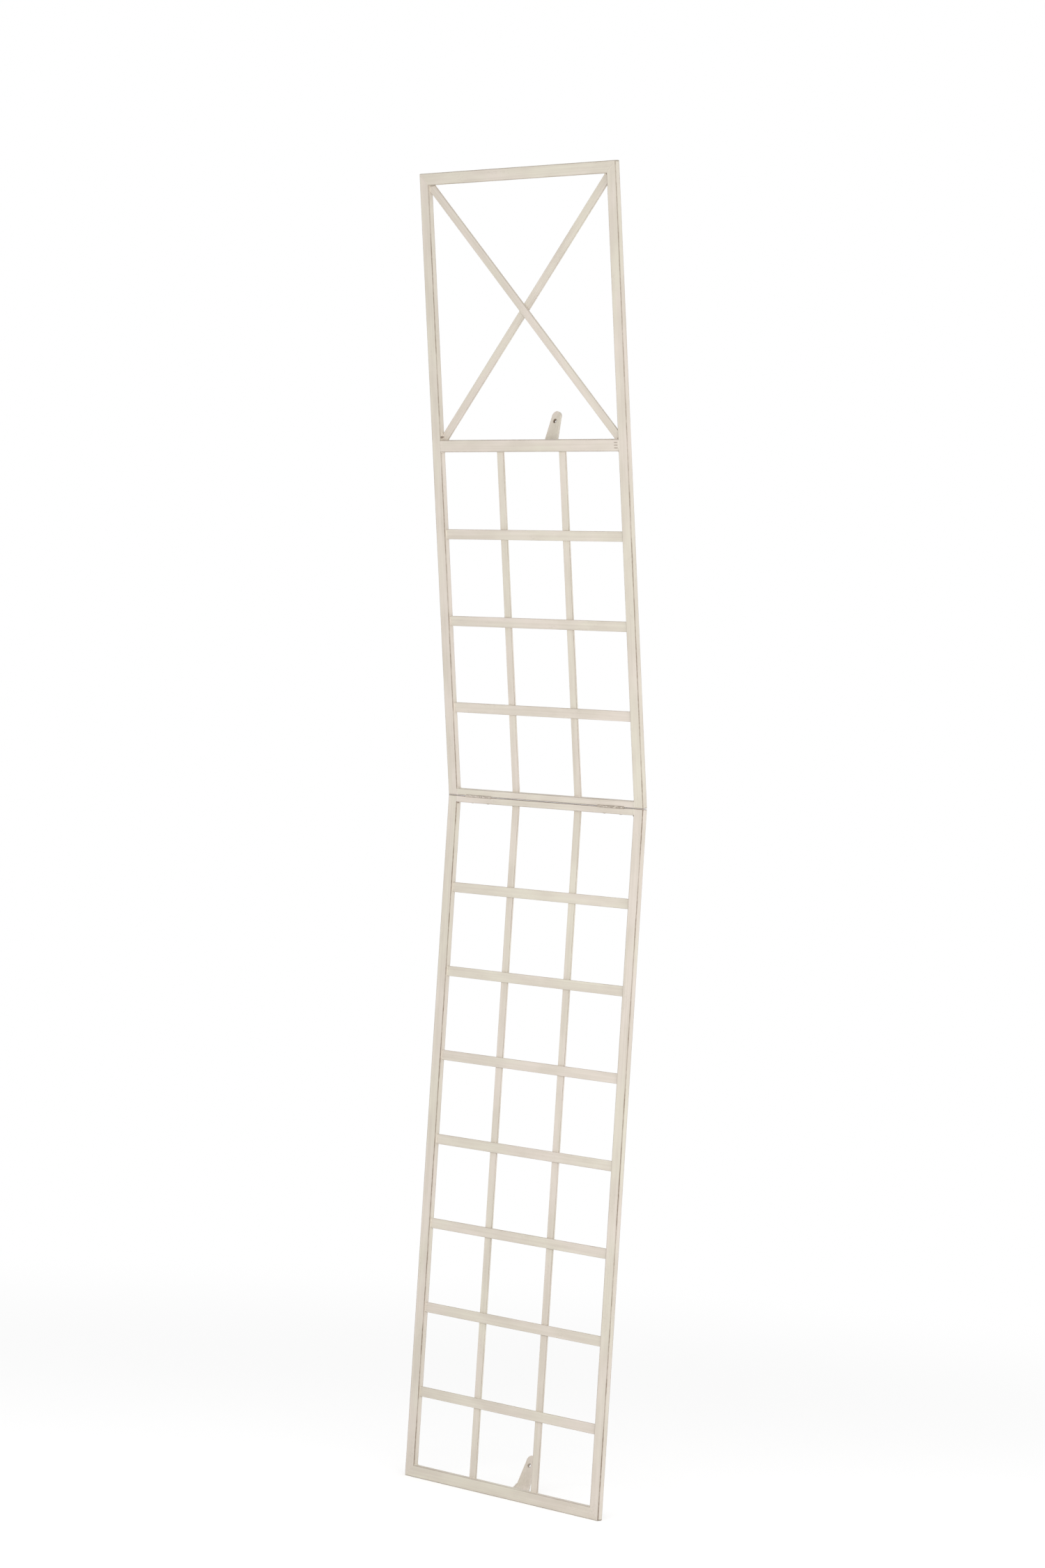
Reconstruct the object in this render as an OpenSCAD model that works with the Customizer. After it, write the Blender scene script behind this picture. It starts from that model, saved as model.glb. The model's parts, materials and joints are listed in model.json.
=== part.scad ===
// Folding espalier frame: two lattice panels hinged at a level fold, with wall ears behind.
// +X is to the right seen from the front, +Y to the back and +Z up.
// The origin is the centre of the upper ear's screw hole.
// Each panel is drawn with Y = 0 on its front and Z measured from the pin's level at the fold.

/* [Frame] */
// Width over the two rails
frame_w = 394; // [320:1:480]
// Length of the upper panel from the fold to its top edge
upper_h = 939; // [780:1:1130]
// Length of the lower panel from the fold to its bottom edge
lower_h = 1033.5; // [860:0.5:1240]
// Height of the crossbar's centre above the fold
cross_h = 530; // [440:1:640]
// How far the fold is from flat at rest, in degrees
rest_fold = 9.2; // [0:0.1:20]

/* [Tube] */
// Face width of the rails and of the top bar, crossbar and bottom bar
tube_w = 18; // [15:0.5:24]
// Depth of that tube from front to back
tube_d = 9.5; // [8:0.5:12]
// Wall of the tube
tube_wall = 1.2; // [0.8:0.1:2]
// Radius of the tube's corners
tube_r = 1.5; // [0.6:0.1:2.5]
// Radius dressed on the frame's outer corners
corner_r = 2.5; // [0.5:0.5:3.5]

/* [Lattice] */
// Width of the rungs
rung_w = 15; // [12:0.5:20]
// Width of the uprights and braces
upright_w = 13; // [10:0.5:18]
// Thickness of these flat bars
flat_t = 3; // [2:0.1:3.8]
// Radius of their rolled edges
flat_r = 0.6; // [0.2:0.1:0.9]
// Drop from the fold to the centre of the first lower rung
first_drop = 139.5; // [110:0.5:170]
// How much shorter the lowest row is than the rows above it
foot_row_cut = 7; // [0:1:14]

/* [Wall ears] */
// Width of the strap from the bar to the bend
ear_root_w = 37; // [28:1:40]
// Width of the strap above the bend, tapering from there to the round top
ear_w = 24; // [20:1:26]
// Thickness of the strap
ear_t = 4; // [2.5:0.5:5]
// Length of the leg from the bar to the bend
ear_reach = 30; // [20:1:40]
// Inner radius of the bend
ear_bend_r = 12; // [5:1:16]
// Swell of the strap round its bend
bend_swell = 0.05; // [0.05:0.01:0.2]
// Lean of the ear away from upright, in degrees
ear_lean = 22.5; // [5:0.5:40]
// Length of the ear from the bend to the centre of its round top
ear_len = 37; // [30:0.5:50]
// Radius of the ear's round top
ear_top_r = 8.5; // [7:0.5:9.5]
// Drop of the leg below the bar's centre
ear_drop = 4; // [0:0.5:5]
// Diameter of the screw hole
ear_hole_d = 5.5; // [4.5:0.5:9]
// Distance of the screw hole from the bend
ear_hole_up = 30; // [20:0.5:38]

/* [Fold hinges] */
// Height of the solid bar along each side of the fold
hinge_bar_h = 9.9; // [8:0.1:16]
// Radius of that bar's edges
hinge_bar_r = 0.8; // [0.3:0.1:1.2]
// Gap between the two panels when flat
fold_gap = 0.4; // [0.4:0.1:1.6]
// How far the pin lies in front of the panels' faces
axis_ahead = 0.4; // [0.3:0.1:1]
// Length of a hinge
hinge_len = 50; // [40:1:70]
// Distance from a rail to the middle of the nearer hinge
hinge_inset = 45; // [40:1:60]
// Thickness of a leaf
leaf_t = 0.8; // [0.6:0.1:1.2]
// Gap between the two leaves when flat
leaf_gap = 0.3; // [0.2:0.1:0.4]
// Distance from a leaf's rear edge to the back of its bar
leaf_inset = 1; // [0.5:0.1:2]
// Outer radius of the knuckles
knuckle_r = 1.6; // [1.5:0.1:2.4]
// Diameter of the pin
pin_d = 1.8; // [1.4:0.1:2]
// Radius of the pin's heads
pin_head_r = 1.4; // [1.2:0.1:1.5]
// Thickness of the pin's heads
pin_head_t = 0.8; // [0.5:0.1:2]
// Diameter of the rivets that hold the leaves
rivet_d = 3; // [2:0.1:3.5]
// Distance between the two rivets of a leaf
rivet_spread = 32; // [24:1:36]
// Radius of a rivet's sunk head
rivet_sink_r = 2.2; // [1.9:0.1:2.4]
// Radius of a rivet's domed head
rivet_dome_r = 2.6; // [2.2:0.1:3.4]
// Height of a rivet's domed head
rivet_dome_h = 0.6; // [0.4:0.1:2]

/* [Rail plugs] */
// Length of the plugs that close the rails at the fold
plug_l = 6; // [4:0.5:12]

/* [Clearances] */
// Running clearance of a pin in its knuckles, on the radius
pin_fit = 0.05; // [0.02:0.01:0.1]
// Clearance of a rivet in its hole, on the radius
rivet_fit = 0.05; // [0.02:0.01:0.1]
// Clearance of a plug in its rail, on each side
plug_fit = 0.1; // [0.05:0.05:0.3]
// Clearance of a leaf in its recess
leaf_fit = 0.2; // [0.1:0.05:0.4]
// Clearance between neighbouring knuckles
knuckle_gap = 0.3; // [0.2:0.1:0.6]
// Clearance round the knuckles as they turn
swing_gap = 0.3; // [0.3:0.05:0.5]

/* [Hidden] */
$fn = 48;
paint = "#ddd5c7";
worn = "#b9ad9c";
over = 1;
bend_lap = 0.5;
neck_share = 0.98;
upper_rungs = 3;
lower_rungs = 7;
columns = 3;
sides = ["left", "right"];

inner_x = frame_w / 2 - tube_w;
column_step = (frame_w - tube_w) / columns;
upright_x = column_step / 2;
seam_z = fold_gap / 2;
hinge_bar_top = seam_z + hinge_bar_h;
front_layer = tube_d - 2 * flat_t;
rear_layer = tube_d - flat_t;

cross_low = cross_h - tube_w / 2;
bay_low = cross_h + tube_w / 2;
bay_high = upper_h - tube_w;
bay_h = bay_high - bay_low;
brace_len = norm([2 * inner_x, bay_h]) + 2 * upright_w;
brace_tilt = atan2(bay_h, 2 * inner_x);

upper_gap = (cross_low - hinge_bar_top - upper_rungs * rung_w) / (upper_rungs + 1);
foot_z = lower_h - tube_w / 2;
lower_step = (foot_z - first_drop + foot_row_cut) / lower_rungs;

bend_r = ear_bend_r + ear_t / 2;
bend_in_r = ear_bend_r - bend_swell;
bend_out_r = ear_bend_r + ear_t + bend_swell;
bend_turn = 90 - ear_lean;
bend_y = ear_reach + bend_r * sin(bend_turn);
bend_z = bend_r * (1 - cos(bend_turn));
ear_neck = neck_share * ear_top_r;

hinge_x = inner_x - hinge_inset;
knuckle_l = (hinge_len - 2 * knuckle_gap) / 3;
knuckle_step = knuckle_l + knuckle_gap;
relief_r = knuckle_r + swing_gap;
leaf_low = leaf_gap / 2;
leaf_high = leaf_low + leaf_t;
leaf_rear = tube_d - leaf_inset;
rivet_y = (relief_r - axis_ahead + leaf_rear) / 2;
pin_l = hinge_len + 2 * pin_head_t;

// The upper ear's hole in its panel, then about the pin once the panel has leaned forward
hole_y = axis_ahead + tube_d + bend_y + ear_hole_up * sin(ear_lean);
hole_z = cross_h - ear_drop + bend_z + ear_hole_up * cos(ear_lean);
hole_at = [
  0,
  hole_y * cos(rest_fold) - hole_z * sin(rest_fold),
  hole_y * sin(rest_fold) + hole_z * cos(rest_fold)
];

// Placing

module place_upper() {
  translate(-hole_at) rotate([rest_fold, 0, 0]) translate([0, axis_ahead, 0]) children();
}

// The lower panel hangs plumb, with its own Z counted downwards
module place_lower() {
  translate(-hole_at) translate([0, axis_ahead, 0]) mirror([0, 0, 1]) children();
}

module on_side(side) {
  if (side == "right") mirror([1, 0, 0]) children();
  else children();
}

module at_hinge(side) {
  on_side(side) translate([-hinge_x, 0, 0]) children();
}

// Stock

// Round bar along X, centred
module along_x(l, r) {
  rotate([0, 90, 0]) cylinder(r = r, h = l, center = true);
}

module round_rect(w, d, r) {
  translate([r, 0]) square([w - 2 * r, d]);
  translate([0, r]) square([w, d - 2 * r]);
  for (x = [r, w - r], y = [r, d - r]) translate([x, y]) circle(r);
}

// Tube standing on its end, with its outer side at X = 0 and its front at Y = 0
module tube(l) {
  difference() {
    linear_extrude(l) round_rect(tube_w, tube_d, tube_r);
    translate([tube_wall, tube_wall, -over])
      cube([tube_w - 2 * tube_wall, tube_d - 2 * tube_wall, l + 2 * over]);
  }
}

// What a mitre takes off the far end of a tube of length l
module mitre(l) {
  translate([0, -over, l]) rotate([0, 45, 0]) cube([2 * tube_w, tube_d + 2 * over, 2 * tube_w]);
}

// Flat bar of width w along X, with its front at Y = 0, centred on Z = 0
module flat_bar(l, w) {
  translate([-l / 2, 0, -w / 2]) rotate([90, 0, 90])
    linear_extrude(l) round_rect(flat_t, w, flat_r);
}

// Panel pieces

// What dressing takes off the left corner of a panel of height h
module corner_cut(h) {
  translate([-frame_w / 2, -over, h]) difference() {
    translate([-over, 0, -corner_r])
      cube([corner_r + over, tube_d + 2 * over, corner_r + over]);
    translate([corner_r, -over, -corner_r]) rotate([-90, 0, 0])
      cylinder(r = corner_r, h = tube_d + 4 * over);
  }
}

module rail(side, h) {
  on_side(side) difference() {
    translate([-frame_w / 2, 0, seam_z]) difference() {
      tube(h - seam_z);
      mitre(h - seam_z);
    }
    corner_cut(h);
  }
}

module end_bar(h) {
  difference() {
    translate([-frame_w / 2, 0, h]) rotate([0, 90, 0]) difference() {
      tube(frame_w);
      mitre(frame_w);
      mirror([0, 0, 1]) mitre(0);
    }
    for (s = sides) on_side(s) corner_cut(h);
  }
}

module cross_tube(z) {
  translate([-inner_x, 0, z + tube_w / 2]) rotate([0, 90, 0]) tube(2 * inner_x);
}

module rung(z) {
  translate([0, front_layer, z]) flat_bar(2 * inner_x, rung_w);
}

module upright(side, low, high) {
  on_side(side) translate([-upright_x, rear_layer, (low + high) / 2])
    rotate([0, 90, 0]) flat_bar(high - low, upright_w);
}

// Diagonal flat bar, trimmed to the bay between the rails, the crossbar and the top bar
module brace(layer_y, tilt) {
  intersection() {
    translate([0, layer_y, (bay_low + bay_high) / 2]) rotate([0, tilt, 0])
      flat_bar(brace_len, upright_w);
    translate([-inner_x, 0, bay_low]) cube([2 * inner_x, tube_d, bay_h]);
  }
}

module rail_plugs() {
  side_gap = tube_wall + plug_fit;
  for (s = sides)
    on_side(s) translate([-frame_w / 2 + side_gap, side_gap, seam_z])
      cube([tube_w - 2 * side_gap, tube_d - 2 * side_gap, plug_l]);
}

// Wall ear

// Half the strap's width at a depth behind the start of the bend
function flare(y) = ear_root_w / 2 - (ear_root_w - ear_w) / 2 * y / (bend_out_r * sin(bend_turn));

module ear_leg() {
  lap_half = flare(bend_lap);
  linear_extrude(ear_t, center = true) {
    translate([-ear_root_w / 2, 0]) square([ear_root_w, ear_reach]);
    translate([-lap_half, 0]) square([2 * lap_half, ear_reach + bend_lap]);
  }
}

// Part of a ring about the X axis, from straight below it round to the run, narrowing on the way
module ear_bend() {
  near_half = flare(-over) + bend_swell;
  far_y = bend_out_r + over;
  far_half = flare(far_y) + bend_swell;
  intersection() {
    difference() {
      along_x(2 * ear_root_w, bend_out_r);
      along_x(2 * ear_root_w + over, bend_in_r);
      for (cut = [180, bend_turn]) rotate([cut, 0, 0])
        translate([-2 * ear_root_w, 0, -2 * bend_out_r])
          cube([4 * ear_root_w, 2 * bend_out_r, 4 * bend_out_r]);
    }
    linear_extrude(4 * bend_out_r, center = true)
      polygon([[-near_half, -over], [near_half, -over], [far_half, far_y], [-far_half, far_y]]);
  }
}

// Straight run with the screw hole, drawn from the bend along Y
module ear_run() {
  difference() {
    linear_extrude(ear_t, center = true) {
      polygon([[-ear_w / 2, -bend_lap], [ear_w / 2, -bend_lap], [ear_neck, ear_len], [-ear_neck, ear_len]]);
      translate([0, ear_len]) circle(ear_top_r);
    }
    translate([0, ear_hole_up, 0]) cylinder(d = ear_hole_d, h = ear_t + 2 * over, center = true);
  }
}

// Bent strap welded to the back of a bar whose centre is at height bar_z
module wall_ear(bar_z) {
  translate([0, tube_d, bar_z - ear_drop]) {
    ear_leg();
    translate([0, ear_reach, bend_r]) {
      ear_bend();
      rotate([bend_turn, 0, 0]) translate([0, 0, -bend_r]) ear_run();
    }
  }
}

// Fold hinges

module rivet_places() {
  for (x = [-1, 1]) translate([x * rivet_spread / 2, rivet_y, 0]) children();
}

// Outline of a rivet beside its axis, eased outwards by the given fit
module rivet_half(fit) {
  r = rivet_d / 2 + fit;
  polygon([
    [0, leaf_low],
    [rivet_sink_r + fit, leaf_low],
    [r, leaf_high],
    [r, hinge_bar_top],
    [0, hinge_bar_top]
  ]);
}

module rivet() {
  dome_r = (rivet_dome_r * rivet_dome_r + rivet_dome_h * rivet_dome_h) / (2 * rivet_dome_h);
  rotate_extrude() {
    rivet_half(0);
    intersection() {
      translate([0, hinge_bar_top + rivet_dome_h - dome_r]) circle(dome_r);
      translate([0, hinge_bar_top]) square([rivet_dome_r, rivet_dome_h]);
    }
  }
}

module rivet_hole() {
  rotate_extrude() rivet_half(rivet_fit);
  translate([0, 0, leaf_low - over]) cylinder(r = rivet_sink_r + rivet_fit, h = over);
  translate([0, 0, hinge_bar_top]) cylinder(d = rivet_d + 2 * rivet_fit, h = over);
}

module hinge_rivets() {
  for (s = sides) at_hinge(s) rivet_places() rivet();
}

// Solid bar along the fold, recessed for the leaves and cleared for the knuckles
module hinge_bar() {
  recess_l = hinge_len + 2 * leaf_fit;
  clear_l = pin_l + 2 * swing_gap;
  difference() {
    translate([-inner_x, 0, seam_z]) rotate([90, 0, 90])
      linear_extrude(2 * inner_x) round_rect(tube_d, hinge_bar_h, hinge_bar_r);
    for (s = sides) at_hinge(s) {
      translate([-recess_l / 2, -over, 0]) cube([recess_l, over + leaf_rear + leaf_fit, leaf_high]);
      translate([0, -axis_ahead, 0]) along_x(clear_l, relief_r);
      rivet_places() rivet_hole();
    }
  }
}

// Leaf with knuckles centred at the given places along the pin
module leaf(knuckles) {
  plate_y = relief_r - axis_ahead;
  difference() {
    union() {
      translate([-hinge_len / 2, plate_y, leaf_low]) cube([hinge_len, leaf_rear - plate_y, leaf_t]);
      for (x = knuckles) translate([x, 0, 0]) {
        translate([-knuckle_l / 2, -axis_ahead, leaf_low]) cube([knuckle_l, relief_r + over, leaf_t]);
        translate([0, -axis_ahead, 0]) along_x(knuckle_l, knuckle_r);
      }
    }
    translate([0, -axis_ahead, 0]) along_x(hinge_len + 2 * over, pin_d / 2 + pin_fit);
    rivet_places() rivet_hole();
  }
}

module hinge_pin() {
  translate([0, -axis_ahead, 0]) {
    along_x(hinge_len, pin_d / 2);
    for (x = [-1, 1]) translate([x * (hinge_len + pin_head_t) / 2, 0, 0]) along_x(pin_head_t, pin_head_r);
  }
}

// Upper panel

module upper_rail(side) { color(paint) place_upper() rail(side, upper_h); }
module top_bar() { color(paint) place_upper() end_bar(upper_h); }
module crossbar() { color(paint) place_upper() cross_tube(cross_h); }
module upper_hinge_bar() { color(paint) place_upper() hinge_bar(); }
module upper_rung(i) {
  color(paint) place_upper() rung(hinge_bar_top + i * (upper_gap + rung_w) - rung_w / 2);
}
module upper_upright(side) { color(paint) place_upper() upright(side, hinge_bar_top, cross_low); }
module brace_front() { color(paint) place_upper() brace(front_layer, brace_tilt); }
module brace_rear() { color(paint) place_upper() brace(rear_layer, -brace_tilt); }
module upper_wall_ear() { color(paint) place_upper() wall_ear(cross_h); }
module upper_rail_plugs() { color(worn) place_upper() rail_plugs(); }
module upper_hinge_rivets() { color(worn) place_upper() hinge_rivets(); }
module upper_leaf(side) { color(worn) place_upper() at_hinge(side) leaf([-knuckle_step, knuckle_step]); }
module fold_pin(side) { color(worn) place_upper() at_hinge(side) hinge_pin(); }

// Lower panel

module lower_rail(side) { color(paint) place_lower() rail(side, lower_h); }
module bottom_bar() { color(paint) place_lower() end_bar(lower_h); }
module lower_hinge_bar() { color(paint) place_lower() hinge_bar(); }
module lower_rung(i) { color(paint) place_lower() rung(first_drop + (i - 1) * lower_step); }
module lower_upright(side) { color(paint) place_lower() upright(side, hinge_bar_top, foot_z - tube_w / 2); }
module lower_wall_ear() { color(paint) place_lower() mirror([0, 0, 1]) wall_ear(-foot_z); }
module lower_rail_plugs() { color(worn) place_lower() rail_plugs(); }
module lower_hinge_rivets() { color(worn) place_lower() hinge_rivets(); }
module lower_leaf(side) { color(worn) place_lower() at_hinge(side) leaf([0]); }

top_bar();
crossbar();
upper_hinge_bar();
brace_front();
brace_rear();
upper_wall_ear();
upper_rail_plugs();
upper_hinge_rivets();
bottom_bar();
lower_hinge_bar();
lower_wall_ear();
lower_rail_plugs();
lower_hinge_rivets();
for (i = [1:upper_rungs]) upper_rung(i);
for (i = [1:lower_rungs]) lower_rung(i);
for (s = sides) {
  upper_rail(s);
  upper_upright(s);
  upper_leaf(s);
  fold_pin(s);
  lower_rail(s);
  lower_upright(s);
  lower_leaf(s);
}
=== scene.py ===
import json
import math
import bpy
from mathutils import Matrix, Vector

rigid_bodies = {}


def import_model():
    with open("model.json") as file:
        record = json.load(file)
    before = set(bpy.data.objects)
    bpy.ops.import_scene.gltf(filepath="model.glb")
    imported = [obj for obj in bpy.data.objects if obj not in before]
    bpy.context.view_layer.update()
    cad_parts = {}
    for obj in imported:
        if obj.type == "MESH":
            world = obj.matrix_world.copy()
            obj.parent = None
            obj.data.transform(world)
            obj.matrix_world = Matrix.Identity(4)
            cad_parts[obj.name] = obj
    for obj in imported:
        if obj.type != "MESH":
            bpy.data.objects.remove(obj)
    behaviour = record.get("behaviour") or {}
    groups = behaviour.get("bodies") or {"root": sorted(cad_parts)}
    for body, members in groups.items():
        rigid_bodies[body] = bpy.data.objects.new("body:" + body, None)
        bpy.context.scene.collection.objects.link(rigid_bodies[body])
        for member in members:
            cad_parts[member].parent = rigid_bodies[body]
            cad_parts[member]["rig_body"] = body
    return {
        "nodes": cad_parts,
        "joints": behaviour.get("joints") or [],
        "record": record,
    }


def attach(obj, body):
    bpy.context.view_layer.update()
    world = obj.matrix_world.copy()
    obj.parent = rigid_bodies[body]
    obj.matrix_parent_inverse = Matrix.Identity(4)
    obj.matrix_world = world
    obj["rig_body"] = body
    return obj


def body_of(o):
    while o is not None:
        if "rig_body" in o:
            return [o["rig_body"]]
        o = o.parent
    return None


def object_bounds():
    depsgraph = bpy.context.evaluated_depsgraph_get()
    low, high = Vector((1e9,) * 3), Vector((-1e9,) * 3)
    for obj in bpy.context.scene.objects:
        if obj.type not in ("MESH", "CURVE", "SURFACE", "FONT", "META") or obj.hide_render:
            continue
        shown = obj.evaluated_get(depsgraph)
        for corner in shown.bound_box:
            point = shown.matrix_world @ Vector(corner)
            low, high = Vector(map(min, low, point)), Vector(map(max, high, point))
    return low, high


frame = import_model()
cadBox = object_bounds()
scene = bpy.context.scene
nodes = frame["nodes"]
print("frame loaded,", len(nodes), "nodes")

quarter = math.pi / 2  # a quarter turn
sides = (-1, 1)  # left and right
perMetre = 1000  # the record's millimetres

# both panels are measured from the fold's pin: X along the pin, Y back, Z up the panel
foldJoint = frame["joints"][0]
pinAt = Vector(foldJoint["pos_m"])
lean = math.radians(-foldJoint["range_deg"][0])  # how far the upper panel leans forward
panelTurn = {
    "upper_panel": Matrix.Translation(pinAt) @ Matrix.Rotation(lean, 4, "X"),
    "lower_panel": Matrix.Translation(pinAt),
}


def panelBox(node):  # a node's lowest and highest corners, measured in its own panel
    unturn = panelTurn[body_of(nodes[node])[0]].inverted()
    points = [unturn @ v.co for v in nodes[node].data.vertices]
    low = Vector([min(p[i] for p in points) for i in range(3)])
    high = Vector([max(p[i] for p in points) for i in range(3)])
    return low, high


def deselect():
    if bpy.context.object and bpy.context.object.mode != "OBJECT":
        bpy.ops.object.mode_set(mode="OBJECT")
    bpy.ops.object.select_all(action="DESELECT")


# paint: cream brushed along each bar, rubbed through to a brown primer on the rounded arrises
paint = {
    "cream": (0.768, 0.690, 0.618, 1),
    "creamGreen": (0.745, 0.702, 0.592, 1),
    "shade": (0.650, 0.588, 0.505, 1),
    "primer": (0.20, 0.145, 0.10, 1),
    # brown painted along the fold as the gap's shade, also on the bare edges there
    "seamShadeBrown": (0.16, 0.098, 0.058, 1),
    # marks per metre along and across the bar
    "brushStroke": (5, 420, 420),
    "tint": (7, 26, 26),
    "mottle": (16, 45, 45),
    "rubPatch": (22, 60, 60),
    "rubFleck": (240, 520, 520),
    "peel": (900, 900, 900),
    "fineDetail": 3.0, "softDetail": 2.0, "noiseRough": 0.55,
    # the part of each noise that counts, and how much it rubs
    "tintSpan": (0.38, 0.62),
    "toneSpan": (0.3, 0.7), "toneShare": (0.0, 0.5),
    "wornSpan": (0.36, 0.62), "wornRub": (0.58, 0.95),
    "grainSpan": (0.32, 0.6), "grainRub": (0.72, 1.0),
    "thinPatch": (0.55, 0.72), "thinFleck": (0.5, 0.66),
    "arrisFlat": (0.999, 0.95),  # how square the surface faces where the arris starts and where it is full
    "rimDarkWidth": 0.0016,
    "seamShadeBand": (0.0014, 0.0008), "seamShadeAndRub": 0.94,  # height over the pin where the painted shade of the fold's gap and the bare edge start and are full
    "rough": (0.5, 0.64), "shine": 0.35,
    "peelShare": 0.6, "bumpDeep": 0.00012, "bumpShow": 0.22,
}
colourIn, colourOut = (6, 7), 2  # the Mix node's colour sockets


def addNode(tree, kind, **sockets):
    node = tree.nodes.new(kind)
    for name, value in sockets.items():
        node.inputs[name].default_value = value
    return node


def noiseOf(tree, coords, scale, detail):
    stretch = addNode(tree, "ShaderNodeMapping", Scale=scale)
    tree.links.new(coords, stretch.inputs["Vector"])
    noise = addNode(tree, "ShaderNodeTexNoise", Scale=1.0, Detail=detail, Roughness=paint["noiseRough"])
    tree.links.new(stretch.outputs["Vector"], noise.inputs["Vector"])
    return noise.outputs["Fac"]


def rangeOf(tree, value, span, result=(0.0, 1.0)):
    node = tree.nodes.new("ShaderNodeMapRange")
    node.interpolation_type = "SMOOTHSTEP"
    for name, number in zip(("From Min", "From Max", "To Min", "To Max"), (*span, *result)):
        node.inputs[name].default_value = number
    tree.links.new(value, node.inputs["Value"])
    return node.outputs["Result"]


def mathOf(tree, operation, first, second):
    node = tree.nodes.new("ShaderNodeMath")
    node.operation = operation
    for socket, value in zip(node.inputs, (first, second)):
        if isinstance(value, float):
            socket.default_value = value
        else:
            tree.links.new(value, socket)
    return node.outputs["Value"]


def vectorOf(tree, operation, first, second=None):
    node = tree.nodes.new("ShaderNodeVectorMath")
    node.operation = operation
    tree.links.new(first, node.inputs[0])
    if second is not None:
        node.inputs[1].default_value = second
    return node


def mixOf(tree, factor, first, second):
    node = tree.nodes.new("ShaderNodeMix")
    node.data_type = "RGBA"
    tree.links.new(factor, node.inputs["Factor"])
    for number, value in zip(colourIn, (first, second)):
        if isinstance(value, tuple):
            node.inputs[number].default_value = value
        else:
            tree.links.new(value, node.inputs[number])
    return node.outputs[colourOut]


def arrisOf(tree, normal, turn):  # shows where the normal leans between two faces of the bar
    faced = addNode(tree, "ShaderNodeMapping", Rotation=turn)
    faced.vector_type = "VECTOR"
    tree.links.new(normal, faced.inputs["Vector"])
    size = vectorOf(tree, "ABSOLUTE", faced.outputs["Vector"])
    split = addNode(tree, "ShaderNodeSeparateXYZ")
    tree.links.new(size.outputs["Vector"], split.inputs["Vector"])
    across = mathOf(tree, "MAXIMUM", split.outputs["Y"], split.outputs["Z"])
    flattest = mathOf(tree, "MAXIMUM", split.outputs["X"], across)
    return rangeOf(tree, flattest, paint["arrisFlat"])


def rimOf(tree, place, hole, rimDarkness):  # darker inside a screw hole and just round its rim
    centre, axis, radius = hole
    away = vectorOf(tree, "SUBTRACT", place, centre)
    beside = vectorOf(tree, "CROSS_PRODUCT", away.outputs["Vector"], axis)
    span = vectorOf(tree, "LENGTH", beside.outputs["Vector"])
    return rangeOf(tree, span.outputs["Value"], (radius + paint["rimDarkWidth"], radius), (0.0, rimDarkness))


def seamShadeOf(tree, place, intoPanel):  # painted shade of the fold's gap, laid as brown on the edges that meet there, which are also rubbed bare
    fromPin = vectorOf(tree, "SUBTRACT", place, pinAt)
    above = vectorOf(tree, "DOT_PRODUCT", fromPin.outputs["Vector"], intoPanel)
    return rangeOf(tree, above.outputs["Value"], paint["seamShadeBand"], (0.0, paint["seamShadeAndRub"]))


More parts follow.
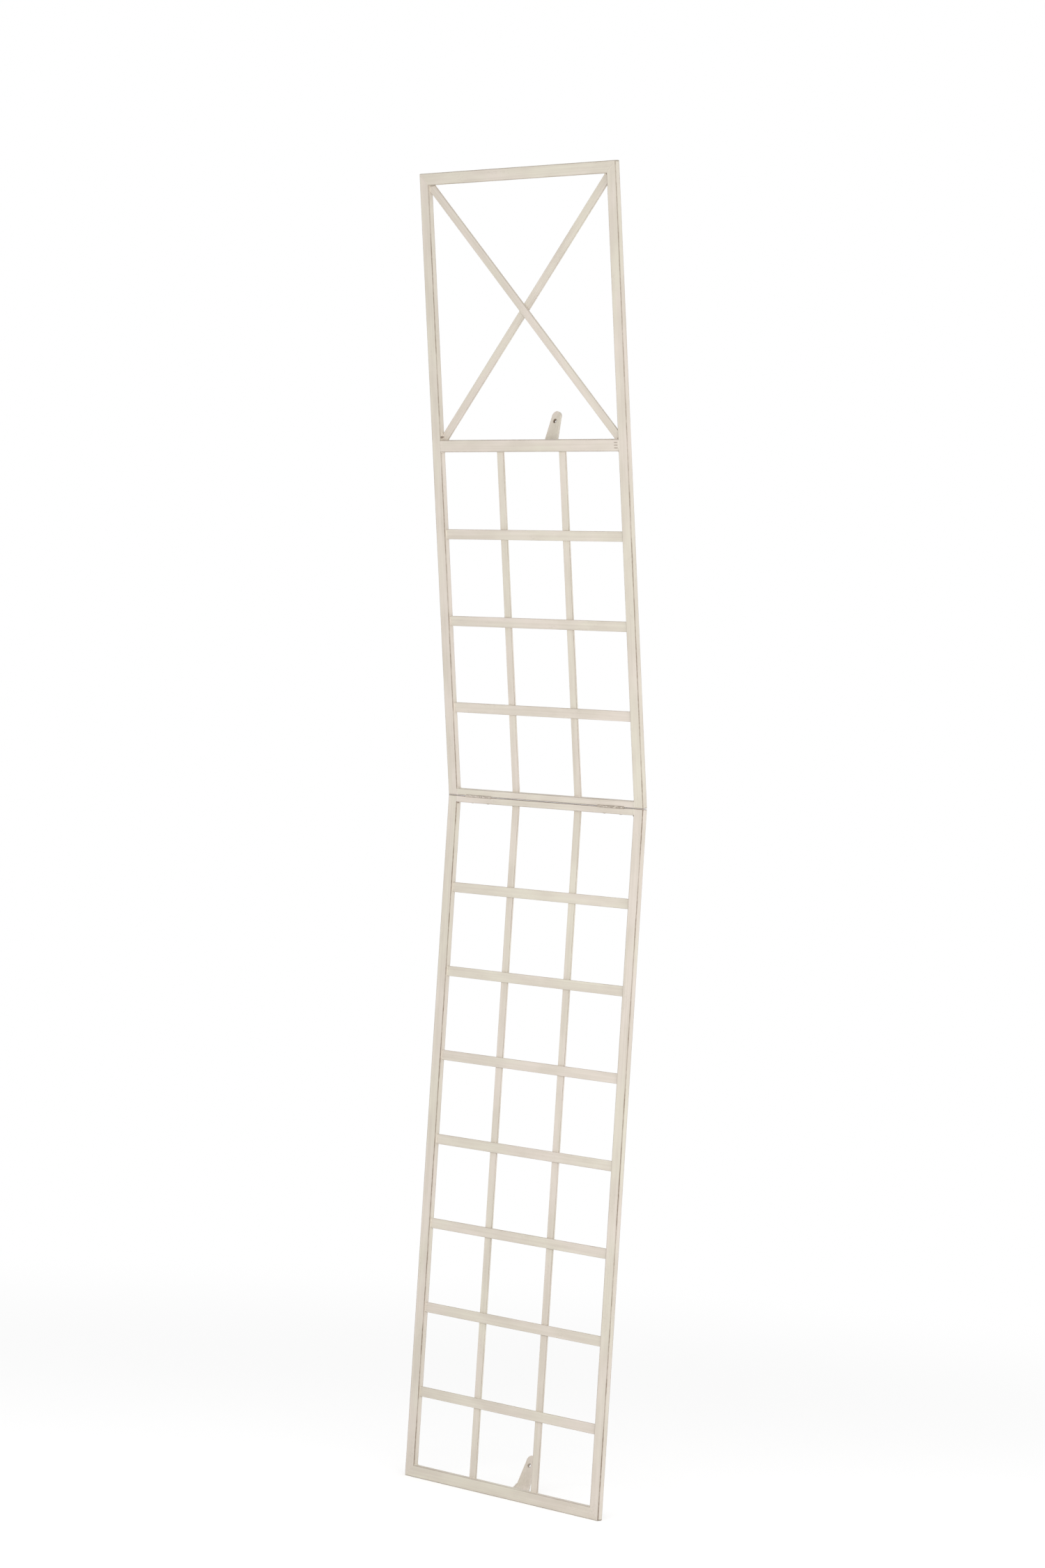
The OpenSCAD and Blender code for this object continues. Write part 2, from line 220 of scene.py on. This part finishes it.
# turn lays the bar along X, and spread widens the rubbed flats
# hole is a screw hole's place, axis and radius, and intoPanel the way from the fold into the panel
def makePaint(name, flatRub, arrisRub=0.0, turn=(0, 0, 0), spread=0.0, hole=None, rimDarkness=0.0, intoPanel=None):
    material = bpy.data.materials.new(name)
    material.use_nodes = True
    tree = material.node_tree
    surface = tree.nodes["Principled BSDF"]
    where = addNode(tree, "ShaderNodeTexCoord")
    laid = addNode(tree, "ShaderNodeMapping", Rotation=turn)
    tree.links.new(where.outputs["Object"], laid.inputs["Vector"])
    coords = laid.outputs["Vector"]
    stroke = noiseOf(tree, coords, paint["brushStroke"], paint["fineDetail"])
    mottle = noiseOf(tree, coords, paint["mottle"], paint["softDetail"])
    tint = noiseOf(tree, coords, paint["tint"], paint["softDetail"])
    patch = noiseOf(tree, coords, paint["rubPatch"], paint["fineDetail"])
    fleck = noiseOf(tree, coords, paint["rubFleck"], paint["fineDetail"])
    peel = noiseOf(tree, coords, paint["peel"], paint["softDetail"])

    # cream drifts between a pinkish and a greenish tint, and varies along the brush strokes
    hue = rangeOf(tree, tint, paint["tintSpan"])
    base = mixOf(tree, hue, paint["cream"], paint["creamGreen"])
    tone = mathOf(tree, "ADD", rangeOf(tree, stroke, paint["toneSpan"], paint["toneShare"]),
                  rangeOf(tree, mottle, paint["toneSpan"], paint["toneShare"]))
    cream = mixOf(tree, tone, base, paint["shade"])

    # rubbed in patches along the arrises, and in flecks where the paint on the flats is thin
    worn = rangeOf(tree, patch, paint["wornSpan"], paint["wornRub"])
    grain = rangeOf(tree, fleck, paint["grainSpan"], paint["grainRub"])
    arrisWear = mathOf(tree, "MULTIPLY", mathOf(tree, "MULTIPLY", worn, grain), arrisRub)
    onArris = mathOf(tree, "MULTIPLY", arrisOf(tree, where.outputs["Normal"], turn), arrisWear)
    thin = mathOf(tree, "MULTIPLY", rangeOf(tree, patch, [edge - spread for edge in paint["thinPatch"]]),
                  rangeOf(tree, fleck, [edge - spread for edge in paint["thinFleck"]]))
    onFlat = mathOf(tree, "MULTIPLY", thin, flatRub)
    rub = mathOf(tree, "MAXIMUM", onArris, onFlat)
    # darker inside the screw hole and round its rim
    if hole:
        rub = mathOf(tree, "MAXIMUM", rub, rimOf(tree, where.outputs["Object"], hole, rimDarkness))
    colour = mixOf(tree, rub, cream, paint["primer"])
    # painted shade along the fold's gap, broken by the bare flecks
    if intoPanel:
        seamShadeAndWear = mathOf(tree, "MULTIPLY", seamShadeOf(tree, where.outputs["Object"], intoPanel), grain)
        colour = mixOf(tree, seamShadeAndWear, colour, paint["seamShadeBrown"])
    tree.links.new(colour, surface.inputs["Base Color"])

    tree.links.new(rangeOf(tree, mottle, paint["toneSpan"], paint["rough"]), surface.inputs["Roughness"])
    surface.inputs["Specular IOR Level"].default_value = paint["shine"]
    height = mathOf(tree, "ADD", stroke, mathOf(tree, "MULTIPLY", peel, paint["peelShare"]))
    bump = addNode(tree, "ShaderNodeBump", Strength=paint["bumpShow"], Distance=paint["bumpDeep"])
    tree.links.new(height, bump.inputs["Height"])
    tree.links.new(bump.outputs["Normal"], surface.inputs["Normal"])
    return material


braceLow, braceHigh = panelBox("brace_front")
braceTilt = math.atan2(braceHigh.z - braceLow.z, braceHigh.x - braceLow.x)
screwHole = {m["name"]: (m["pos_m"], m["axis"], m["dims"]["r_mm"] / perMetre)
             for m in frame["record"]["mounts"] if m["kind"] == "bore"}
intoUpper = Vector((0, -math.sin(lean), math.cos(lean)))
intoLower = Vector((0, 0, -1))
upperLevel, upperTall = (-lean, 0, 0), (-lean, quarter, 0)  # turns for level and upright bars
lowerLevel, lowerTall = (0, 0, 0), (0, quarter, 0)
finishes = {
    "upperRails": {"turn": upperTall, "arrisRub": 0.86, "flatRub": 0.12, "intoPanel": intoUpper},
    "upperUprights": {"turn": upperTall, "arrisRub": 0.82, "flatRub": 0.12},
    "upperBars": {"turn": upperLevel, "arrisRub": 0.48, "flatRub": 0.12},
    "upperFold": {"turn": upperLevel, "arrisRub": 0.52, "flatRub": 0.12, "intoPanel": intoUpper},
    "upperEar": {"turn": upperTall, "flatRub": 0.12, "hole": screwHole["upper_wall_hole"], "rimDarkness": 0.95},
    "braceFront": {"turn": (-lean, -braceTilt, 0), "arrisRub": 0.52, "flatRub": 0.10},
    "braceRear": {"turn": (-lean, braceTilt, 0), "arrisRub": 0.52, "flatRub": 0.10},
    "lowerRails": {"turn": lowerTall, "arrisRub": 0.98, "flatRub": 0.14, "intoPanel": intoLower},
    "lowerUprights": {"turn": lowerTall, "arrisRub": 0.82, "flatRub": 0.12},
    "lowerBars": {"turn": lowerLevel, "arrisRub": 0.48, "flatRub": 0.12},
    "lowerFold": {"turn": lowerLevel, "arrisRub": 0.52, "flatRub": 0.12, "intoPanel": intoLower},
    "lowerEar": {"turn": lowerTall, "flatRub": 0.12, "hole": screwHole["lower_wall_hole"], "rimDarkness": 0.4},
    "rubbedEdge": {"arrisRub": 0.43, "flatRub": 0.5},
    # hinge parts and plugs rubbed darker: worn paint, and painted shade so the barrels read as part of the
    # fold's shadow line
    "hinge": {"flatRub": 0.6, "spread": 0.12},
    "weld": {"flatRub": 0.35},
    # dark weld paint, also on the slits painted as shadow lines
    "bareWeld": {"flatRub": 0.8, "spread": 0.3},
}
barPaint = {key: makePaint("paint" + key[0].upper() + key[1:], **finish) for key, finish in finishes.items()}


def finishFor(node):
    level = "upper" if body_of(nodes[node])[0] == "upper_panel" else "lower"
    if node == "brace_front":
        return "braceFront"
    if node == "brace_rear":
        return "braceRear"
    if node.endswith("ear"):
        return level + "Ear"
    if any(word in node for word in ("leaf", "pin", "rivets", "plugs")):
        return "hinge"
    if node.endswith("hinge_bar"):
        return level + "Fold"
    if node.endswith("rail"):
        return level + "Rails"
    if node.endswith("upright"):
        return level + "Uprights"
    return level + "Bars"


for name in sorted(nodes):
    nodes[name].material_slots[0].material = barPaint[finishFor(name)]
print("paint on", len(nodes), "nodes")

# eased edges on the bent straps and the plugs, rubbed like the arrises
easing = {"width": 0.0005, "segments": 2, "angle": 35, "merge": 0.000005}
eased = [name for name in sorted(nodes) if name.endswith("ear") or name.endswith("plugs")]
for name in eased:
    nodes[name].data.materials.append(barPaint["rubbedEdge"])
    join = nodes[name].modifiers.new("joinFaces", "WELD")
    join.merge_threshold = easing["merge"]
    ease = nodes[name].modifiers.new("easedEdge", "BEVEL")
    ease.width = easing["width"]
    ease.segments = easing["segments"]
    ease.limit_method = "ANGLE"
    ease.angle_limit = math.radians(easing["angle"])
    ease.material = 1  # the rubbed edge's slot
print("edges eased on", len(eased), "nodes")

# weld beads: one rippled bead is modelled and copied to every joint
bead = {"length": 0.012, "radius": 0.0011, "sides": 8, "steps": 7,
        "swell": 1.0, "dip": 0.84, "tip": 0.55, "smoothAngle": 50}


def makeBead():
    deselect()
    step = bead["length"] / bead["steps"]
    start = -bead["length"] / 2
    bpy.ops.mesh.primitive_circle_add(vertices=bead["sides"], radius=bead["radius"] * bead["tip"],
                                      fill_type="NGON", location=(start, 0, 0), rotation=(0, quarter, 0))
    piece = bpy.context.object
    bpy.ops.object.mode_set(mode="EDIT")
    bpy.ops.mesh.select_all(action="SELECT")
    before = bead["tip"]
    for i in range(1, bead["steps"] + 1):
        wide = bead["tip"] if i == bead["steps"] else bead["swell"] if i % 2 else bead["dip"]
        grow = wide / before
        bpy.ops.mesh.extrude_region_move(TRANSFORM_OT_translate={"value": (step, 0, 0)})
        bpy.ops.transform.resize(value=(1, grow, grow), center_override=(start + step * i, 0, 0))
        before = wide
    bpy.ops.mesh.select_all(action="SELECT")
    bpy.ops.mesh.normals_make_consistent(inside=False)
    bpy.ops.object.mode_set(mode="OBJECT")
    bpy.ops.object.transform_apply(location=True, rotation=True, scale=True)
    piece.name = "bead"
    return piece


beadPiece = makeBead()
along = {
    "x": Matrix.Identity(4),
    "y": Matrix.Rotation(quarter, 4, "Z"),
    "z": Matrix.Rotation(-quarter, 4, "Y"),
}


def layBead(panel, at, run, length, thick=1.0, flat=1.0):  # run is an axis, or a slant in radians
    turn = along[run] if isinstance(run, str) else Matrix.Rotation(run, 4, "Y")
    size = Matrix.Diagonal((length / bead["length"], flat, thick, 1))
    copy = beadPiece.copy()
    copy.data = beadPiece.data.copy()
    scene.collection.objects.link(copy)
    copy.data.transform(panelTurn[panel] @ Matrix.Translation(Vector(at)) @ turn @ size)
    return copy


def layFillet(panel, at, run, length, thick):
    return layBead(panel, at, run, length, thick, thick)


def joinWelds(name, panel, copies, finish="weld"):
    deselect()
    for copy in copies:
        copy.select_set(True)
    bpy.context.view_layer.objects.active = copies[0]
    bpy.ops.object.join()
    piece = bpy.context.object
    piece.name = name
    bpy.ops.object.shade_smooth_by_angle(angle=math.radians(bead["smoothAngle"]))
    piece.data.materials.clear()
    piece.data.materials.append(barPaint[finish])
    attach(piece, panel)
    print("welds", name, len(copies))


# lengths in metres, thicknesses as times the bead's own, shares of the bar they cross
weldSpot = {
    "proud": 0.0003, "rungEnd": 0.013, "cross": 0.010, "upright": 0.012, "braceCross": 0.010,
    "dressedThin": 0.2, "dressedWide": 1.7, "dressedShare": 0.86, "mitreWide": 0.8, "mitreShare": 1.2,
    "earThick": 1.4, "earLength": 0.030,
    "cornerThick": 1.5, "cornerDeep": 0.008, "spotDeep": 0.0035, "spotShare": 0.7,
    "slitThick": 1.4, "slitDeep": 0.0085, "slitRise": 0.0044, "slitLong": 0.010,
    "rippleLong": 0.008, "rippleThick": 0.5, "rippleGap": 0.004,
}
proud = weldSpot["proud"]
strapThick = frame["record"]["mounts"][0]["dims"]["length_mm"] / perMetre  # a screw hole's depth


def latticeWelds(panel, level, rungs):
    innerX = panelBox(level + "_right_rail")[0].x
    uprights = [panelBox(level + "_left_upright"), panelBox(level + "_right_upright")]
    copies = []
    for rung in rungs:
        low, high = panelBox(rung)
        middle = (low.z + high.z) / 2
        for side in sides:
            for y in (low.y - proud, high.y + proud):  # front and back corners against the rail
                copies.append(layBead(panel, (side * (innerX - proud), y, middle), "z", weldSpot["rungEnd"]))
        for uLow, uHigh in uprights:  # tacks behind, in the corners beside the upright
            for x in (uLow.x - proud, uHigh.x + proud):
                copies.append(layBead(panel, (x, high.y + proud, middle), "z", weldSpot["cross"]))
    for uLow, uHigh in uprights:  # upper and lower ends of the uprights
        for z, up in ((uLow.z, 1), (uHigh.z, -1)):
            spot = ((uLow.x + uHigh.x) / 2, uLow.y - proud, z + up * proud)
            copies.append(layBead(panel, spot, "x", weldSpot["upright"]))
    return copies


def tubeWelds(panel, level, bars, endBar, ear):
    railLow, railHigh = panelBox(level + "_right_rail")
    innerX, front, back = railLow.x, railLow.y, railHigh.y
    copies = []
    for bar in bars:  # butt joints dressed nearly flush, front and back
        low, high = panelBox(bar)
        length = (high.z - low.z) * weldSpot["dressedShare"]
        for side in sides:
            for y in (front, back):
                copies.append(layBead(panel, (side * innerX, y, (low.z + high.z) / 2), "z", length,
                                      weldSpot["dressedWide"], weldSpot["dressedThin"]))
    low, high = panelBox(endBar)  # mitres dressed in the same way
    tall = high.z - low.z
    length = tall * weldSpot["mitreShare"]
    for side in sides:
        slant = -side * quarter / 2 if level == "upper" else side * quarter / 2
        for y in (front, back):
            copies.append(layBead(panel, (side * (innerX + tall / 2), y, (low.z + high.z) / 2), slant, length,
                                  weldSpot["mitreWide"], weldSpot["dressedThin"]))
    earLow = panelBox(ear)[0].z  # fillets above and below the ear's leg
    for z in (earLow - proud, earLow + strapThick + 2 * proud):
        copies.append(layBead(panel, (0, back + proud, z), "x", weldSpot["earLength"], weldSpot["earThick"]))
    return copies


def cornerWelds(panel, level, corners):  # painted fillets across the inside corners
    railLow, railHigh = panelBox(level + "_right_rail")
    deepAt = (railLow.y + railHigh.y) / 2
    return [layFillet(panel, (side * (railLow.x - proud), deepAt, z + up * proud), "y",
                      weldSpot["cornerDeep"], weldSpot["cornerThick"])
            for z, up in corners for side in sides]


def darkSpots(panel, level, corners):  # short dark fillets at the front of a corner
    railLow = panelBox(level + "_right_rail")[0]
    frontAt = railLow.y + weldSpot["spotDeep"] * weldSpot["spotShare"]
    return [layFillet(panel, (side * (railLow.x - proud), frontAt, z + up * proud), "y",
                      weldSpot["spotDeep"], weldSpot["cornerThick"])
            for side, z, up in corners]


def bayShadowSlits(crossTop, topBelow):  # dark slits painted as the shadow lines where the left ends of the braces meet rail and top bar
    railLow, railHigh = panelBox("upper_right_rail")
    deepAt = (railLow.y + railHigh.y) / 2
    slitX = railLow.x - weldSpot["slitLong"] / 2
    frontAt = min(panelBox("brace_front")[0].y, panelBox("brace_rear")[0].y)
    return [layFillet("upper_panel", (proud - railLow.x, deepAt, crossTop + weldSpot["slitRise"]), "y",
                      weldSpot["slitDeep"], weldSpot["slitThick"]),
            layFillet("upper_panel", (-slitX, frontAt, topBelow - proud), "x",
                      weldSpot["slitLong"], weldSpot["slitThick"])]


def crossbarRipples():  # a ripple pattern left on the front of the crossbar's right joint
    low, high = panelBox("crossbar")
    x = high.x - weldSpot["rippleLong"] / 2
    middle = (low.z + high.z) / 2
    return [layBead("upper_panel", (x, low.y, middle + i * weldSpot["rippleGap"]), "x",
                    weldSpot["rippleLong"], weldSpot["rippleThick"], weldSpot["dressedThin"])
            for i in (-1, 0, 1)]


def braceWelds():
    stripLow, stripHigh = panelBox("upper_left_upright")  # the braces are cut from the same flat bar
    half = (stripHigh.x - stripLow.x) / 2
    onRail = half / math.cos(braceTilt)
    onBar = half / math.sin(braceTilt)
    copies = []
    for node, tilt in (("brace_front", 1), ("brace_rear", -1)):
        low, high = panelBox(node)
        for side in sides:
            z, up = (low.z, 1) if side * tilt > 0 else (high.z, -1)
            for y in (low.y - proud, high.y):
                railSpot = (side * (high.x - proud), y, z + up * onRail / 2)
                barSpot = (side * (high.x - onBar / 2), y, z + up * proud)
                copies.append(layBead("upper_panel", railSpot, "z", onRail))
                copies.append(layBead("upper_panel", barSpot, "x", onBar))
    low, high = panelBox("brace_rear")  # tacks along both edges of the rear brace at the crossing
    for side in sides:
        reach = side * (half + proud)
        spot = (-reach * math.sin(braceTilt), low.y + proud, (low.z + high.z) / 2 + reach * math.cos(braceTilt))
        copies.append(layBead("upper_panel", spot, -braceTilt, weldSpot["braceCross"]))
    return copies


upperRungs = sorted(name for name in nodes if name.startswith("upper_rung"))
lowerRungs = sorted(name for name in nodes if name.startswith("lower_rung"))
upperLattice = latticeWelds("upper_panel", "upper", upperRungs)
upperTubes = tubeWelds("upper_panel", "upper", ["crossbar", "upper_hinge_bar"], "top_bar", "upper_wall_ear")
lowerLattice = latticeWelds("lower_panel", "lower", lowerRungs)
lowerTubes = tubeWelds("lower_panel", "lower", ["lower_hinge_bar"], "bottom_bar", "lower_wall_ear")
joinWelds("upper_lattice_welds", "upper_panel", upperLattice)
joinWelds("lower_lattice_welds", "lower_panel", lowerLattice)
joinWelds("upper_tube_welds", "upper_panel", upperTubes)
joinWelds("lower_tube_welds", "lower_panel", lowerTubes)
joinWelds("brace_welds", "upper_panel", braceWelds())

crossLow, crossHigh = panelBox("crossbar")
topBelow = panelBox("top_bar")[0].z
foldAbove = panelBox("upper_hinge_bar")[1].z
foldBelow = panelBox("lower_hinge_bar")[0].z
footAbove = panelBox("bottom_bar")[1].z
upperPainted = cornerWelds("upper_panel", "upper", [(crossLow.z, -1), (foldAbove, 1)])
lowerPainted = cornerWelds("lower_panel", "lower", [(footAbove, 1)])
upperDarkAndShade = darkSpots("upper_panel", "upper", [(1, crossHigh.z, 1), (1, topBelow, -1)])
# the bay slits are painted shadow lines at the left bay corners
upperDarkAndShade += bayShadowSlits(crossHigh.z, topBelow) + crossbarRipples()
lowerDarkSpots = darkSpots("lower_panel", "lower", [(-1, foldBelow, -1), (1, foldBelow, -1)])
joinWelds("upper_corner_welds", "upper_panel", upperPainted)
joinWelds("lower_corner_welds", "lower_panel", lowerPainted)
joinWelds("upper_dark_welds_and_shade", "upper_panel", upperDarkAndShade, "bareWeld")
joinWelds("lower_dark_welds", "lower_panel", lowerDarkSpots, "bareWeld")
bpy.data.objects.remove(beadPiece)

# studio: white all round, a long soft lamp on the camera's side and a smaller one at the right
studio = {
    "white": (1, 1, 1, 1), "worldLight": 0.64,
    "floorSize": 60, "floorColour": (0.88, 0.88, 0.88, 1), "floorLift": 0.32,
    "floorFade": (0.9, 2.6),  # distance from the frame where the floor starts and ends to turn white
}
lamps = [
    {"at": (1.7, -2.1, -0.35), "wide": 4.5, "tall": 0.8, "power": 46},
    {"at": (3.2, 0.4, -0.6), "wide": 2.0, "tall": 2.0, "power": 14},
]


def seenRays(tree):  # what the camera sees, straight, mirrored or through glass
    rays = addNode(tree, "ShaderNodeLightPath").outputs
    passed = mathOf(tree, "MAXIMUM", rays["Is Glossy Ray"], rays["Is Transmission Ray"])
    return mathOf(tree, "MAXIMUM", rays["Is Camera Ray"], passed)


world = bpy.data.worlds.new("studioWhite")
scene.world = world
world.use_nodes = True
tree = world.node_tree
tree.nodes.clear()
light = addNode(tree, "ShaderNodeBackground", Color=studio["white"], Strength=studio["worldLight"])
white = addNode(tree, "ShaderNodeBackground", Color=studio["white"], Strength=1.0)
choose = addNode(tree, "ShaderNodeMixShader")
tree.links.new(seenRays(tree), choose.inputs["Fac"])
tree.links.new(light.outputs["Background"], choose.inputs[1])
tree.links.new(white.outputs["Background"], choose.inputs[2])
worldOut = addNode(tree, "ShaderNodeOutputWorld")
tree.links.new(choose.outputs["Shader"], worldOut.inputs["Surface"])

for spot in lamps:
    deselect()
    bpy.ops.object.light_add(type="AREA", location=spot["at"])
    lamp = bpy.context.object
    lamp.data.shape = "RECTANGLE"
    lamp.data.size = spot["wide"]
    lamp.data.size_y = spot["tall"]
    lamp.data.energy = spot["power"]
    lamp.rotation_euler = (pinAt - Vector(spot["at"])).to_track_quat("-Z", "Y").to_euler()

deselect()
bpy.ops.mesh.primitive_plane_add(size=studio["floorSize"], location=(pinAt.x, pinAt.y, cadBox[0].z))
floor = bpy.context.object
floor.name = "floor"
floorPaint = bpy.data.materials.new("floorWhite")
floorPaint.use_nodes = True
tree = floorPaint.node_tree
tree.nodes.clear()
seen = seenRays(tree)
where = addNode(tree, "ShaderNodeTexCoord")
far = vectorOf(tree, "LENGTH", where.outputs["Object"])
fade = rangeOf(tree, far.outputs["Value"], studio["floorFade"])
matte = addNode(tree, "ShaderNodeBsdfDiffuse", Color=studio["floorColour"])
glow = addNode(tree, "ShaderNodeEmission", Strength=1.0)
lift = addNode(tree, "ShaderNodeEmission")
tree.links.new(mathOf(tree, "MULTIPLY", seen, studio["floorLift"]), lift.inputs["Strength"])
lit = addNode(tree, "ShaderNodeAddShader")
tree.links.new(matte.outputs["BSDF"], lit.inputs[0])
tree.links.new(lift.outputs["Emission"], lit.inputs[1])
blend = addNode(tree, "ShaderNodeMixShader")
tree.links.new(mathOf(tree, "MULTIPLY", fade, seen), blend.inputs["Fac"])
tree.links.new(lit.outputs["Shader"], blend.inputs[1])
tree.links.new(glow.outputs["Emission"], blend.inputs[2])
floorOut = addNode(tree, "ShaderNodeOutputMaterial")
tree.links.new(blend.outputs["Shader"], floorOut.inputs["Surface"])
floor.data.materials.append(floorPaint)
print("studio set")

# camera as in the photograph: to the right of the frame, level with the fold, rolled a little
shot = {
    "fromPin": (4.0372, -4.3935, 0.0743), "turn": (91.332, -3.678, 42.926),
    "lens": 91.97, "shiftY": -0.0809, "farthest": 100,
}
deselect()
bpy.ops.object.camera_add(location=pinAt + Vector(shot["fromPin"]),
                          rotation=[math.radians(angle) for angle in shot["turn"]])
camera = bpy.context.object
camera.data.lens = shot["lens"]
camera.data.shift_y = shot["shiftY"]
camera.data.clip_end = shot["farthest"]
scene.camera = camera
scene.view_settings.view_transform = "Standard"
print("camera set")

deselect()
